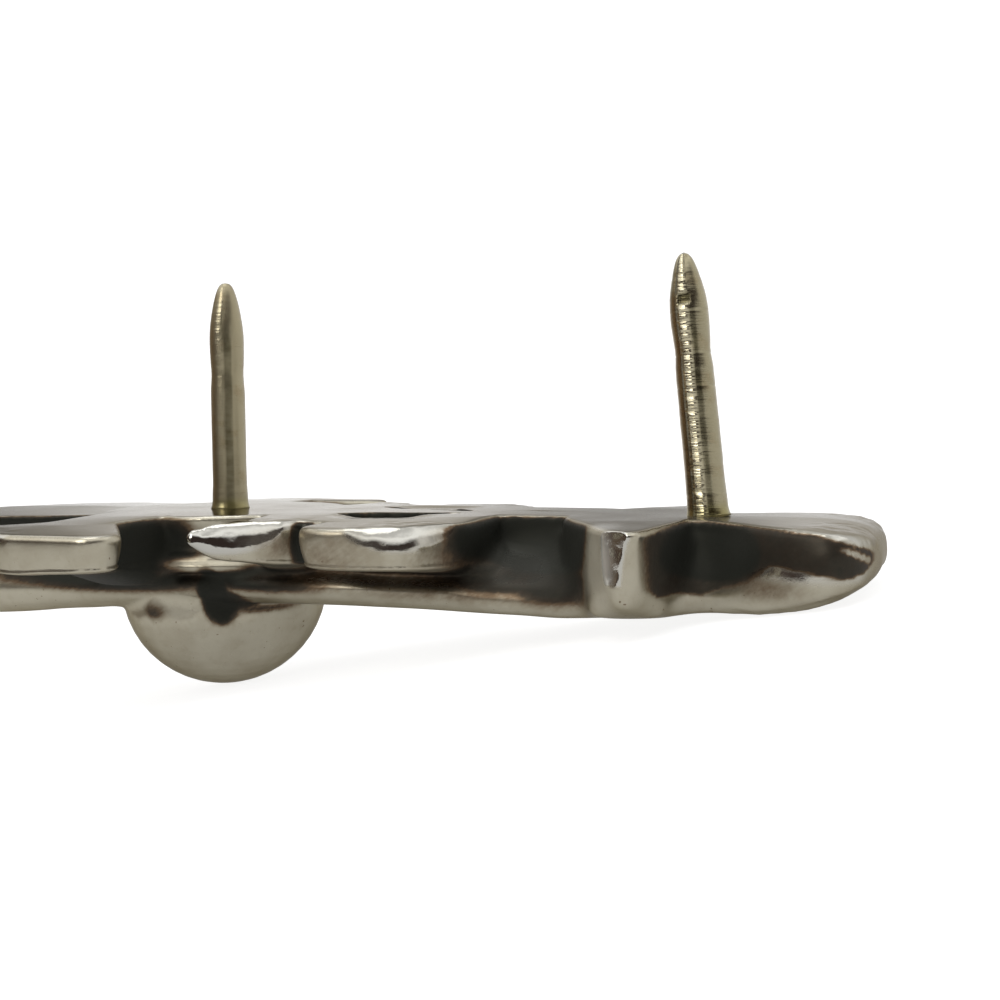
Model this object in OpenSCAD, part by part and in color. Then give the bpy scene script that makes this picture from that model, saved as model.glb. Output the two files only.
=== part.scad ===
// Cast openwork pin with two tack posts, lying face down as it rests by itself.
// Each solid is modelled about the middle of the pin's flat back, with +Z out of that back,
// +X along the long arm and -Y towards the viewer, and is then tipped into its resting place.

/* [Long arm and short arm] */
// Length of the long arm, from the middle of the dome to its tip
long_arm = 21.6; // [20.6:0.1:22.6]
// Length of the short arm, from the middle of the dome to its tip
short_arm = 11.4; // [10.6:0.1:12.4]
// Scale of the beam's widths about the long axis
beam_widths = 1; // [0.9:0.02:1.1]

/* [Dome] */
// Radius of the ball that the dome is the lower part of
dome_r = 3.48; // [3.3:0.01:3.6]
// Depth of the middle of that ball below the flat back
dome_seat = 2.57; // [2.5:0.01:2.7]

/* [Flanges at the back] */
// Thickness of the side arms, petals and lobes
flange_t = 1.3; // [1.1:0.05:1.5]
// Distance from the long axis to the end of a side arm
side_arm = 9.1; // [8.6:0.1:9.6]
// Distance from the long axis to the edge of a lobe
lobe_reach = 5.9; // [5.5:0.1:6.2]
// Distance from the long axis to the crest of a cusp
cusp_reach = 5.9; // [5.6:0.1:6.2]
// Depth of a cusp's crest
cusp_t = 2.3; // [2.1:0.05:2.5]
// Width of the softened edge round the back
edge_roll = 0.12; // [0.1:0.02:0.3]

/* [Posts] */
// Diameter of a post's shaft
post_d = 1.15; // [1:0.01:1.2]
// Height of the center post above the back
post_h = 7.7; // [6.5:0.1:9]
// Height of the end post above the back
end_post_h = 7.8; // [6.5:0.1:9]
// Distance between the two posts
post_spacing = 16.6; // [16:0.1:17]
// Lean of the center post towards the short arm, in degrees
center_lean = 0; // [0:0.2:3]
// Lean of the end post towards the center post, in degrees
end_lean = 5.4; // [0:0.2:6]

/* [Hidden] */

silver = "silver";
nickel = "#b5a36a";
fine = 48; // sides of the dome and of the posts
coarse = 24; // sides of a flange's round corners
solder = 0.03; // gap all round a post's foot, which the solder fills
foot = 0.9; // depth of a post's foot in the back
foot_d = post_d - 0.25; // diameter of that foot at the back
foot_end = 0.8 * foot_d; // diameter of its lower end
seat = 0.08; // height of a shaft's lower end above the back, which leaves room for the lean
skin = 0.01; // overlap that joins a cut or a solid cleanly
dome_x = -0.25; // how far the middle of the dome lies from the center post's foot

// Cross-sections of the beam, from the short arm's tip to the long arm's tip
ALONG = 0; // place along the arm, as a share of that arm's length
BACK = 1; // half width at the flat back
SCOOP = 2; // half width in the hollowed flank
BELLY = 3; // half width below the hollow
RIM = 4; // half distance between the two front rims
RIM_T = 5; // depth of the rims
MID_T = 6; // depth on the axis, more than the rims on a crowned beam, less in a channel
DROP = 7; // how far the back has rounded over
SECTIONS = [
    [-1.000, 1.0, 1.3, 1.1, 0.5, 1.25, 1.20, 0.60],
    [-0.988, 2.2, 2.3, 2.0, 1.2, 1.80, 1.70, 0.34],
    [-0.960, 3.2, 3.1, 2.9, 2.1, 2.45, 2.30, 0.18],
    [-0.900, 3.9, 3.5, 3.5, 2.7, 3.10, 2.95, 0.10],
    [-0.830, 4.1, 3.5, 3.7, 2.9, 3.45, 3.35, 0.06],
    [-0.730, 4.1, 3.3, 3.6, 2.9, 3.60, 3.60, 0.03],
    [-0.600, 4.0, 3.1, 3.5, 2.8, 3.53, 3.60, 0.00],
    [-0.450, 3.7, 2.8, 3.5, 2.8, 3.35, 3.46, 0.00],
    [-0.250, 3.0, 2.4, 3.6, 2.8, 3.17, 3.30, 0.00],
    [0.000, 1.9, 1.7, 3.7, 2.8, 2.92, 3.10, 0.00],
    [0.200, 1.8, 1.6, 3.6, 2.8, 2.78, 2.98, 0.00],
    [0.400, 1.5, 1.4, 3.4, 2.8, 2.78, 2.94, 0.00],
    [0.515, 0.9, 0.9, 3.3, 2.8, 2.82, 2.95, 0.00],
    [0.600, 1.2, 1.2, 3.3, 2.8, 2.87, 2.96, 0.00],
    [0.705, 1.9, 1.6, 3.1, 2.6, 2.70, 2.78, 0.00],
    [0.770, 1.7, 1.6, 2.6, 2.2, 2.66, 2.68, 0.00],
    [0.815, 2.1, 2.1, 2.8, 2.4, 2.64, 2.52, 0.00],
    [0.870, 3.0, 3.0, 3.0, 2.8, 2.50, 2.30, 0.00],
    [0.920, 3.5, 3.5, 3.5, 3.1, 2.28, 2.00, 0.02],
    [0.956, 3.5, 3.6, 3.5, 2.9, 2.02, 1.80, 0.09],
    [0.980, 2.9, 3.1, 3.0, 2.2, 1.76, 1.60, 0.22],
    [0.994, 2.0, 2.3, 2.1, 1.3, 1.50, 1.42, 0.46],
    [1.000, 0.9, 1.3, 1.1, 0.6, 1.28, 1.24, 0.78],
];
STEPS = 3; // rings between two sections

// Height on a section's side, as a share of the rim's depth
scoop_at = 0.33;
belly_at = 0.76;
crown = 0.007; // drop of the back's edge, per square of the half width

// Smooth curve through four values, at the share t between the second and the third
function spline(a, b, c, d, t) =
    b + t * ((c - a) + t * (2 * a - 5 * b + 4 * c - d + t * (3 * (b - c) + d - a))) / 2;
function clamp(i) = max(0, min(len(SECTIONS) - 1, i));
function section(i, t) = [for (k = [ALONG:DROP])
    k == ALONG ? SECTIONS[i][k] + t * (SECTIONS[clamp(i + 1)][k] - SECTIONS[i][k])
               : spline(SECTIONS[clamp(i - 1)][k], SECTIONS[i][k],
                        SECTIONS[clamp(i + 1)][k], SECTIONS[clamp(i + 2)][k], t)];
function arm_length(share) = share < 0 ? short_arm : long_arm;

// Half of a section's outline, from the back's axis round to the front's axis
function down(s, share) = -s[DROP] - share * (s[RIM_T] - s[DROP]);
function half_ring(s) = let (
    roll = min(edge_roll, 0.6 * s[BACK]),
    edge = -s[DROP] - crown * pow(s[BACK], 2)) [
    [0, -s[DROP]],
    [s[BACK] - roll, edge],
    [s[BACK] - 0.25 * roll, edge - 0.25 * roll],
    [s[BACK], edge - roll],
    [s[SCOOP], down(s, scoop_at)],
    [(s[SCOOP] + s[BELLY]) / 2, down(s, (scoop_at + belly_at) / 2)],
    [s[BELLY], down(s, belly_at)],
    [(s[BELLY] + s[RIM]) / 2 + 0.12, down(s, 0.9)],
    [s[RIM], down(s, 1)],
    [s[RIM] / 2, -(s[RIM_T] + 2 * s[MID_T]) / 3],
    [0, -s[MID_T]],
];
function ring(s) = let (half = half_ring(s), n = len(half), x = s[ALONG] * arm_length(s[ALONG]))
    concat([for (p = half) [x, -beam_widths * p[0], p[1]]],
           [for (i = [n - 2:-1:1]) [x, beam_widths * half[i][0], half[i][1]]]);

// A long solid through rings of points, closed at both ends
module loft(rings) {
    n = len(rings[0]);
    last = len(rings) - 1;
    polyhedron(
        points = [for (r = rings) for (p = r) p],
        faces = concat(
            [[for (k = [0:n - 1]) k]],
            [for (i = [0:last - 1]) for (k = [0:n - 1])
                [i * n + k, (i + 1) * n + k, (i + 1) * n + (k + 1) % n, i * n + (k + 1) % n]],
            [[for (k = [n - 1:-1:0]) last * n + k]]),
        convexity = 6);
}

// The beam, with a dark crevice on each side in front of the dome
module beam() {
    crevice = [1.7, 4.1, 0.8]; // place and radius of the crevice
    difference() {
        loft([for (i = [0:len(SECTIONS) - 2]) for (j = [0:STEPS - 1]) ring(section(i, j / STEPS)),
              ring(SECTIONS[len(SECTIONS) - 1])]);
        for (side = [-1, 1]) translate([crevice[0], side * crevice[1], -4])
            cylinder(h = 3, r = crevice[2], $fn = coarse);
    }
}

// A round pad with softened edges, flush with the back or below it: flanges are hulls of pads
module pad(x, y, r, depth, below = 0) {
    high = depth - below;
    translate([x, -y, -depth]) {
        translate([0, 0, edge_roll]) cylinder(h = high - 2 * edge_roll, r = r, $fn = coarse);
        cylinder(h = high, r = r - 0.8 * edge_roll, $fn = coarse);
    }
}

// A side arm that leaves the collar on the short arm's side and ends in a swept-back head
module side_arm() {
    corner = 0.75; // radius of the head's outer corners
    below = 0.2; // how far the head lies below the flat back
    neck = [-1.3, 6.2, 1.2]; // place and radius of the narrowest part
    hull() {
        pad(neck[0], 3.0, 1.6, 2.2);
        pad(neck[0], neck[1], neck[2], flange_t, below / 3);
    }
    hull() {
        pad(neck[0], neck[1], neck[2], flange_t, below / 3);
        pad(1.05, side_arm - corner, corner, 0.95 * flange_t, below);
        pad(-1.3, side_arm - corner, corner, 1.05 * flange_t, below);
        pad(-4.0, side_arm - 2 * corner, 1.3 * corner, 0.95 * flange_t, below);
    }
}

// A pointed petal beside the dome, its tip turned towards the side arm
module petal() {
    hull() {
        pad(4.0, 1.6, 1.2, 1.8);
        pad(4.25, 3.9, 1.0, flange_t, 0.04);
    }
    hull() {
        pad(4.25, 3.9, 1.0, flange_t, 0.04);
        pad(3.2, 5.2, 0.5, 1.15, 0.08);
        pad(2.6, 5.95, 0.24, 0.7, 0.12);
    }
}

// A rounded lobe, widest on the side of the petal
module lobe() {
    corner = 1.2;
    hull() {
        pad(7.4, lobe_reach - corner, corner, flange_t, 0.12);
        pad(8.5, lobe_reach - corner - 0.3, corner, flange_t, 0.1);
        pad(9.3, 3.3, 1.0, flange_t, 0.08);
        pad(7.4, 1.4, 1.2, 1.7);
        pad(9.2, 1.2, 1.2, 1.7);
    }
    hull() {
        pad(5.4, 2.9, corner, flange_t, 0.06); // the web that ties the lobe to the petal
        pad(7.4, 3.0, corner, flange_t, 0.06);
        pad(5.4, 1.4, corner, 1.7);
        pad(7.4, 1.4, corner, 1.7);
    }
}

// A barb with a full-depth crest and hollowed flanks
module cusp() {
    crest = 0.5; // radius of the crest
    difference() {
        hull() {
            pad(15.5, cusp_reach - crest, crest, cusp_t, 0.04);
            pad(14.5, 1.0, 2.0, 2.75);
        }
        translate([5.9, -9.2, -3.5]) cylinder(h = 4, r1 = 8.6, r2 = 9.2, $fn = 2 * fine);
        translate([22.4, -7.4, -3.5]) cylinder(h = 4, r1 = 6.2, r2 = 6.6, $fn = 2 * fine);
    }
}

// A web that leaves the hollow between lobe and cusp shallower on the far side
module far_web() {
    hull() {
        pad(9.8, 1.9, 1.0, 1.7);
        pad(12.7, 1.8, 1.0, 1.9);
    }
}

// A curved opening between a lobe and the beam, blind where it meets the beam
module slit() {
    depth = 1.5;
    row = [[5.25, 1.7, 0.1], [6.1, 1.55, 0.5], [7.3, 1.35, 0.45], [8.7, 0.5, 0.1]]; // x, y and radius
    for (i = [0:len(row) - 2]) hull() for (e = [row[i], row[i + 1]])
        translate([e[0], -e[1], -depth]) cylinder(h = depth + skin, r = e[2], $fn = 12);
}

module dome() {
    cut = 0.6; // depth in the beam from which the ball is left
    intersection() {
        translate([dome_x, 0, -dome_seat]) sphere(r = dome_r, $fn = fine);
        translate([dome_x, 0, -dome_seat - dome_r]) cylinder(h = dome_seat + dome_r - cut, r = dome_r);
    }
}

// The round collar behind the dome: a hollowed wall over a rounded lip
module collar() {
    r = 4.1;
    waist = 3.75;
    rotate_extrude($fn = fine) polygon([
        [0, 0], [r - edge_roll, 0], [r, -edge_roll], [waist, -0.75], [waist, -1.1],
        [r, -1.4], [r + 0.1, -1.6], [r, -1.8], [0, -1.8]]);
}

// Everything on the viewer's side of the long axis
module flank() {
    side_arm();
    petal();
    lobe();
    cusp();
}

module socket(x, lean) {
    gap = 2 * solder;
    translate([x, 0, 0]) rotate([0, -lean, 0]) {
        translate([0, 0, -foot - solder])
            cylinder(h = foot + solder, d1 = foot_end + gap, d2 = foot_d + gap, $fn = fine);
        translate([0, 0, -skin]) cylinder(h = foot, d = foot_d + gap, $fn = fine);
    }
}

module casting() {
    difference() {
        union() {
            beam();
            collar();
            dome();
            flank();
            mirror([0, 1, 0]) {
                flank();
                far_web();
            }
        }
        slit();
        mirror([0, 1, 0]) slit();
        socket(0, center_lean);
        socket(post_spacing, end_lean);
    }
}

// Share of a post's radius along its point, from the shoulder to the end
NOSE = [[0, 1], [0.3, 0.97], [0.55, 0.84], [0.75, 0.66], [0.9, 0.47], [0.97, 0.3], [1, 0]];

// A tack post: plain shaft, clutch groove and rounded point
module post(h) {
    r = post_d / 2;
    groove = h - 2.85; // height of the clutch groove
    neck = r - 0.08;
    nose = 1.8; // length of the point
    rotate_extrude($fn = fine) polygon(concat(
        [[0, -foot], [foot_end / 2, -foot], [foot_d / 2, seat], [r, seat],
         [r, groove - 0.15], [neck, groove], [r, groove + 0.15]],
        [for (row = NOSE) [r * row[1], h - nose + nose * row[0]]]));
}

// The pin tips towards its long arm until the dome and the two rims of that arm's end stand level
RIM_ROW = 17; // the section whose rims touch
rim_x = SECTIONS[RIM_ROW][ALONG] * long_arm;
rim_z = -SECTIONS[RIM_ROW][RIM_T];
function dome_low(a) = dome_x * sin(a) + dome_seat * cos(a) + dome_r;
function rim_low(a) = rim_x * sin(a) - rim_z * cos(a);
function rest_angle(low, high, n) = let (a = (low + high) / 2)
    n == 0 ? a : rim_low(a) < dome_low(a) ? rest_angle(a, high, n - 1) : rest_angle(low, a, n - 1);
rest_tip = rest_angle(0, 30, 30);
rest_height = dome_low(rest_tip);
left_end = -short_arm * cos(rest_tip) - SECTIONS[0][RIM_T] * sin(rest_tip);
right_end = long_arm * cos(rest_tip) - SECTIONS[len(SECTIONS) - 1][DROP] * sin(rest_tip);

// Stands the pin on z = 0 with its length centred on the origin
module at_rest() {
    translate([-(left_end + right_end) / 2, 0, rest_height]) rotate([0, rest_tip, 0]) children();
}

module ornament() {
    color(silver) at_rest() casting();
}

module center_post() {
    color(nickel) at_rest() rotate([0, -center_lean, 0]) post(post_h);
}

module end_post() {
    color(nickel) at_rest() translate([post_spacing, 0, 0]) rotate([0, -end_lean, 0]) post(end_post_h);
}

ornament();
center_post();
end_post();
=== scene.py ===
import bpy, bmesh, math
import numpy as np
from mathutils import Matrix, Vector, noise
from mathutils.bvhtree import BVHTree
from mathutils.kdtree import KDTree


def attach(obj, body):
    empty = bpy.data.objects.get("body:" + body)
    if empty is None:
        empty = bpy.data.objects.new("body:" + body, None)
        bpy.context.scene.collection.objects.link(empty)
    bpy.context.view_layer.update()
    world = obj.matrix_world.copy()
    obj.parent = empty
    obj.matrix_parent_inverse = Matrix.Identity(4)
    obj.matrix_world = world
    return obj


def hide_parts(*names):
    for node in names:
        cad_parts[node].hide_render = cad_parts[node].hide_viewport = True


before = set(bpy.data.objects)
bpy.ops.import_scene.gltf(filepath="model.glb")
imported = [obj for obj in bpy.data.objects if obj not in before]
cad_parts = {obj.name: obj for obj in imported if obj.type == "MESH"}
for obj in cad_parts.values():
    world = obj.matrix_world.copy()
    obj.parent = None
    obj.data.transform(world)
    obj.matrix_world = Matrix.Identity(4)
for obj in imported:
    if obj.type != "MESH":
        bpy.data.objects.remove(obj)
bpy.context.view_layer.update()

mm = 0.001
# The pin's own frame, in mm: the middle of the flat back at the origin, the long arm along +X and
# +Z out of the back. The pin rests tipped towards its long arm, on its half-ball and that arm's end.
restTip = math.radians(10.7408)
restHeight = 5.95838
restShift = -4.82149
toRest = Matrix.Translation((restShift, 0, restHeight)) @ Matrix.Rotation(restTip, 4, 'Y')
fromRest = toRest.inverted()


class Value:  # a shader socket that takes part in Python sums
    def __init__(self, graph, socket):
        self.graph, self.socket = graph, socket

    def math(self, operation, other, swap=False, clamp=False):
        pair = [other, self] if swap else [self, other]
        return self.graph.add('ShaderNodeMath', {'operation': operation, 'use_clamp': clamp}, pair)

    def __add__(self, other):
        return self.math('ADD', other)

    def __radd__(self, other):
        return self.math('ADD', other, True)

    def __sub__(self, other):
        return self.math('SUBTRACT', other)

    def __rsub__(self, other):
        return self.math('SUBTRACT', other, True)

    def __mul__(self, other):
        return self.math('MULTIPLY', other)

    def __rmul__(self, other):
        return self.math('MULTIPLY', other, True)

    def clamped(self):
        return self.math('ADD', 0.0, clamp=True)


class Graph:  # the nodes of one material, or of the world
    def __init__(self, owner):
        owner.use_nodes = True
        self.owner, self.tree = owner, owner.node_tree

    def add(self, kind, settings, sockets, out=0):
        node = self.tree.nodes.new(kind)
        for name, value in settings.items():
            if name == 'stops':
                self.setStops(node.color_ramp, value)
            else:
                setattr(node, name, value)
        pairs = sockets.items() if isinstance(sockets, dict) else enumerate(sockets)
        for name, value in pairs:
            self.join(node.inputs[name], value)
        return Value(self, node.outputs[out])

    def join(self, socket, value):
        if isinstance(value, Value):
            self.tree.links.new(value.socket, socket)
        elif value is not None:
            socket.default_value = value

    def setStops(self, ramp, stops):
        while len(ramp.elements) < len(stops):
            ramp.elements.new(0.5)
        for element, (place, color) in zip(ramp.elements, stops):
            element.position = place
            element.color = (*color, 1)

    def attribute(self, name):
        return self.add('ShaderNodeAttribute', {'attribute_name': name}, {}, 'Fac')

    def objectPlace(self):
        return self.add('ShaderNodeTexCoord', {}, {}, 'Object')

    def stretched(self, place, scale, turn):  # a place turned, then stretched so that a pattern runs as lines
        turned = self.add('ShaderNodeMapping', {}, {'Vector': place, 'Rotation': turn})
        return self.add('ShaderNodeMapping', {}, {'Vector': turned, 'Scale': scale})

    def noise(self, place, scale, detail=3.0, rough=0.5):
        sockets = {'Vector': place, 'Scale': scale, 'Detail': detail, 'Roughness': rough}
        return self.add('ShaderNodeTexNoise', {}, sockets, 'Fac')

    def mixColor(self, share, first, second):
        return self.add('ShaderNodeMix', {'data_type': 'RGBA'}, {0: share, 6: first, 7: second}, 2)

    def mapRange(self, value, low, high):
        smooth = {'interpolation_type': 'SMOOTHSTEP'}
        return self.add('ShaderNodeMapRange', smooth, [value, low, high, 0.0, 1.0])

    def band(self, value, edges):  # rises over the first two edges and falls over the last two
        return self.mapRange(value, *edges[:2]) * (1 - self.mapRange(value, *edges[2:]))

    def cover(self, pattern, low, high, most):  # up to 'most' where a pattern is high
        return self.mapRange(pattern, low, high) * most

    def lines(self, place, scale, detail=3.0, rough=0.5, turn=(0, 0, 0)):
        return self.noise(self.stretched(place, scale, turn), 1.0, detail, rough)

    def finish(self, node, **sockets):
        for name, value in sockets.items():
            self.join(self.tree.nodes[node].inputs[name.replace('_', ' ')], value)
        return self.owner


def newMaterial(name):
    return Graph(bpy.data.materials.new(name))


print('camera')
# Fitted to the photo, in the pin's own frame: degrees, mm, pixels of the photo's 1000, the roll as a slope
cameraFit = {
    'turn': 21.13, 'away': 42.0, 'along': 9.31, 'high': 2.596, 'roll': 0.0104,
    'focal': 1218.0, 'horizon': 429.9, 'picture': 1000, 'sensor': 36,
}


def placeCamera(fit):
    turn = math.radians(fit['turn'])
    right = Vector((math.cos(turn), math.sin(turn), 0))
    ahead = Vector((-math.sin(turn), math.cos(turn), 0))
    place = right * fit['along'] - ahead * fit['away'] + Vector((0, 0, fit['high']))
    pitch = math.atan((fit['picture'] / 2 - fit['horizon']) / fit['focal'])
    roll = math.atan(fit['roll'])
    ahead = ahead * math.cos(pitch) - Vector((0, 0, math.sin(pitch)))
    up = right.cross(ahead)
    right = right * math.cos(roll) - up * math.sin(roll)
    up = right.cross(ahead)
    own = Matrix.Identity(4)
    for column, axis in enumerate((right, up, -ahead, place)):
        for row in range(3):
            own[row][column] = axis[row]
    world = toRest @ own
    world.translation = world.translation * mm
    data = bpy.data.cameras.new('photoCamera')
    data.sensor_width = fit['sensor']
    data.lens = fit['sensor'] * fit['focal'] / fit['picture']
    data.clip_start = mm
    camera = bpy.data.objects.new('photoCamera', data)
    camera.matrix_world = world
    bpy.context.scene.collection.objects.link(camera)
    bpy.context.scene.camera = camera


placeCamera(cameraFit)


def newObject(name, mesh):
    piece = bpy.data.objects.new(name, mesh)
    bpy.context.scene.collection.objects.link(piece)
    return piece


def settle(piece):  # from the pin's own frame in mm to its resting place in metres
    piece.data.transform(Matrix.Diagonal((mm, mm, mm, 1)) @ toRest)
    piece.data.shade_smooth()


def ramp(value, low, high):
    share = np.clip((value - low) / (high - low), 0, 1)
    return share * share * (3 - 2 * share)


def band(value, edges):  # rises over the first two edges and falls over the last two
    return ramp(value, *edges[:2]) * (1 - ramp(value, *edges[2:]))


def blob(points, place, size, soft=0.4):  # 1 inside an egg-shaped place on both flanks, 0 outside
    both = points.copy()
    both[:, 1] = np.abs(both[:, 1])
    far = np.sqrt((((both - place) / size) ** 2).sum(1))
    return 1 - ramp(far, 1 - soft, 1 + soft)


print('casting: shape')
castingShape = {
    'voxel': 0.09, 'keep': 0.66,  # the grid's size, and the share of its faces that is kept
    'edgeRounds': 1, 'wallRounds': 16, 'wallDepth': (0.35, 0.8),
    'wornRounds': 2, 'worn': (0.1, 0.3), 'wornFade': (-0.1, 0.2),
    'dimple': 0.022, 'dimpleScale': 2.6, 'facetDimple': 1.1, 'facetEdge': (-0.04, -0.01),
    'uneven': 0.013, 'unevenScale': 0.55, 'domeEven': 0.6,
}
# Worn smooth by hand: rounds of smoothing, the depth over which it begins, then place, size and softness
smoothPlaces = {
    'hollows': (130, (0.25, 0.6), [
        ((12.6, 2.4, -1.5), (2.6, 2.4, 1.2), 0.3),
        ((17.0, 2.4, -1.5), (1.6, 2.0, 1.2), 0.3)]),
    'crest': (240, (0.2, 0.5), [((15.4, 5.4, -1.3), (1.4, 1.8, 1.6), 0.35)]),
}
# Where the back's edge is polished round: along, across; half its length, its depth and its width
wornPlaces = {
    'lobe': (9.15, 5.3, 1.75, 0.98, 0.9),
    'lobeLeft': (7.0, 5.9, 0.8, 0.2, 0.25),
    'petal': (3.5, 5.6, 1.8, 1.24, 0.7),
    'petalRoot': (5.0, 4.3, 0.8, 0.45, 0.35),
    'leafEdge': (19.0, 3.4, 2.6, 0.16, 0.22),
    'leafTip': (21.35, 2.3, 1.7, 0.75, 0.9),
    'armCorner': (-2.6, 9.1, 1.4, 0.6, 0.4),
    'armEdge': (0.3, 9.1, 1.2, 0.12, 0.15),
}
# Which points are walls, and which points near them are rolled over
edgeSearch = {
    'walls': (-0.75, -0.5), 'steep': 0.45, 'deepest': -1.5, 'shallow': 0.01,
    'gap': 1.3, 'behind': -0.3, 'reach': 1.06,
}
# The flange's walls lean in towards the front: how much, on what slopes, over which depths, and up to where
wallLean = {'lean': 0.09, 'steep': (0.5, 0.8), 'depth': (0.25, 1.1, 1.35, 1.6), 'ends': (12.0, 13.4)}
# The leaf's side swells by 'out', most at 'depth' and down to twice that
leafSwell = {'from': 17.0, 'to': 18.6, 'out': 0.25, 'depth': 1.42, 'fade': (20.3, 21.9)}
# Each lobe's root reaches nearly to the petal
lobeReach = {'middle': (6.6, 5.3, -0.75), 'size': (1.25, 1.5, 1.5), 'soft': 1.0, 'shift': -0.6}
dome = {'middle': (-0.25, 0, -2.57), 'radius': 3.48, 'skin': (0.03, 0.12), 'depth': (1.9, 2.1)}
# The polishing wheel left a flat facet on each crest: its facing, where it lies, and its cut at two heights
crestFacet = {
    'facing': (-0.515, 0.857), 'along': (14.2, 16.3), 'across': 3.5,
    'top': (-0.14, 0.22), 'foot': (-1.5, 0.02), 'slice': 0.1,
}
# Beside its opening each lobe lies a little lower than the beam. 'along' and 'across' are the opening's edge
lobeSink = {
    'deep': 0.085, 'middle': (6.9, 2.2), 'size': (2.0, 1.2), 'fade': (0.35, 1.0), 'depth': (0.3, 0.8),
    'along': (5.25, 6.1, 7.3, 8.7), 'across': (1.7, 1.55, 1.35, 0.5), 'edge': 0.12,
}


def castingMesh():
    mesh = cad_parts['ornament'].data.copy()
    bm = bmesh.new()
    bm.from_mesh(mesh)
    bmesh.ops.remove_doubles(bm, verts=bm.verts, dist=1e-6)
    bmesh.ops.scale(bm, vec=(1 / mm, 1 / mm, 1 / mm), verts=bm.verts)
    bmesh.ops.transform(bm, matrix=fromRest, verts=bm.verts)
    bmesh.ops.recalc_face_normals(bm, faces=bm.faces)
    mesh.clear_geometry()
    bm.to_mesh(mesh)
    bm.free()
    piece = newObject('pinCasting', mesh)
    grid = piece.modifiers.new('grid', 'REMESH')
    grid.mode = 'VOXEL'
    grid.voxel_size = castingShape['voxel']
    applyModifiers(piece)
    return piece


def applyModifiers(piece):
    depsgraph = bpy.context.evaluated_depsgraph_get()
    piece.data = bpy.data.meshes.new_from_object(piece.evaluated_get(depsgraph))
    piece.modifiers.clear()


def readMesh(mesh):
    points = np.empty(len(mesh.vertices) * 3, np.float32)
    normals = np.empty(len(mesh.vertices) * 3, np.float32)
    edges = np.empty(len(mesh.edges) * 2, np.int32)
    mesh.vertices.foreach_get('co', points)
    mesh.vertices.foreach_get('normal', normals)
    mesh.edges.foreach_get('vertices', edges)
    return points.reshape(-1, 3).astype(float), normals.reshape(-1, 3).astype(float), edges.reshape(-1, 2)


def writePoints(mesh, points):
    mesh.vertices.foreach_set('co', points.astype(np.float32).ravel())
    mesh.update()


def writeAttribute(mesh, name, values):
    layer = mesh.attributes.new(name, 'FLOAT', 'POINT')
    layer.data.foreach_set('value', values.astype(np.float32))


def neighbourMean(values, edges):
    size = len(values)
    first, second = edges.T
    count = np.bincount(edges.ravel(), minlength=size)
    sums = [np.bincount(first, column[second], size) + np.bincount(second, column[first], size)
            for column in values.T]
    return np.stack(sums, 1) / count[:, None]


def relax(values, edges, weight, rounds):  # each point moves towards the mean of its neighbours
    for count in range(rounds):
        values = values + (neighbourMean(values, edges) - values) * weight[:, None]
    return values


def bumps(points, scale):
    return np.array([noise.noise(Vector(point) * scale) for point in points.tolist()])


def wearField(points):  # depth and width of the polished round near each point
    depth = np.full(len(points), 1e-3)
    width = np.full(len(points), 1e-3)
    for along, across, half, deep, wide in wornPlaces.values():
        far = np.hypot(points[:, 0] - along, np.abs(points[:, 1]) - across) / half
        share = np.sqrt(np.clip(1 - far ** 2, 0, 1))
        depth = np.maximum(depth, deep * share)
        width = np.maximum(width, wide * share)
    return depth, width


def roundEdge(points, normals):  # rolls the back's edge over to the depth and width that wearField gives
    (low, high), reach = edgeSearch['walls'], edgeSearch['reach']
    walls = (points[:, 2] < high) & (points[:, 2] > low) & (np.abs(normals[:, 2]) < edgeSearch['steep'])
    tree = KDTree(int(walls.sum()))
    outline = points[walls]
    facing = normals[walls] * (1, 1, 0)
    facing /= np.linalg.norm(facing, axis=1)[:, None]
    for i, point in enumerate(outline.tolist()):
        tree.insert((point[0], point[1], 0), i)
    tree.balance()
    depth, width = wearField(points)
    moved = points.copy()
    near = (points[:, 2] > edgeSearch['deepest']) & (depth > edgeSearch['shallow'])
    for i in np.nonzero(near)[0].tolist():
        x, y, z = points[i].tolist()
        nearest, gap = tree.find((x, y, 0))[1:]
        out = facing[nearest]
        inside = (outline[nearest][0] - x) * out[0] + (outline[nearest][1] - y) * out[1]
        if gap > width[i] * edgeSearch['gap'] or inside < edgeSearch['behind']:
            continue
        across = (width[i] - inside) / width[i]
        up = (depth[i] + z) / (reach * depth[i])
        far = math.hypot(across, up)
        if across <= 0 or up <= 0 or far <= 1:
            continue
        shrink = 1 / far
        moved[i, :2] -= out[:2] * (across - across * shrink) * width[i]
        moved[i, 2] -= (up - up * shrink) * reach * depth[i]
    return moved


def facetReach(points):  # how far each point near a crest lies out, and where that is
    facing, (start, end) = crestFacet['facing'], crestFacet['along']
    across = np.abs(points[:, 1])
    near = (points[:, 0] > start) & (points[:, 0] < end) & (across > crestFacet['across'])
    near = near & (points[:, 2] > crestFacet['foot'][0])
    return points[:, 0] * facing[0] + across * facing[1], near


def facetPlane(points):  # slope and offset of the facet
    out, near = facetReach(points)
    (top, deep), (foot, low) = crestFacet['top'], crestFacet['foot']
    slices = [near & (np.abs(points[:, 2] - height) < crestFacet['slice']) for height in (top, foot)]
    reach = [out[inside].max() for inside in slices]
    slope = (reach[1] - low - reach[0] + deep) / (foot - top)
    return slope, reach[0] - deep - slope * top


def overFacet(points, plane):  # how far each point stands out past the facet's plane, and where that counts
    out, near = facetReach(points)
    return out - plane[0] * points[:, 2] - plane[1], near


def cutFacet(points, plane):
    over, near = overFacet(points, plane)
    over = over.clip(0, None) * near
    moved = points.copy()
    moved[:, 0] -= crestFacet['facing'][0] * over
    moved[:, 1] -= crestFacet['facing'][1] * over * np.sign(points[:, 1])
    return moved


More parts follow.
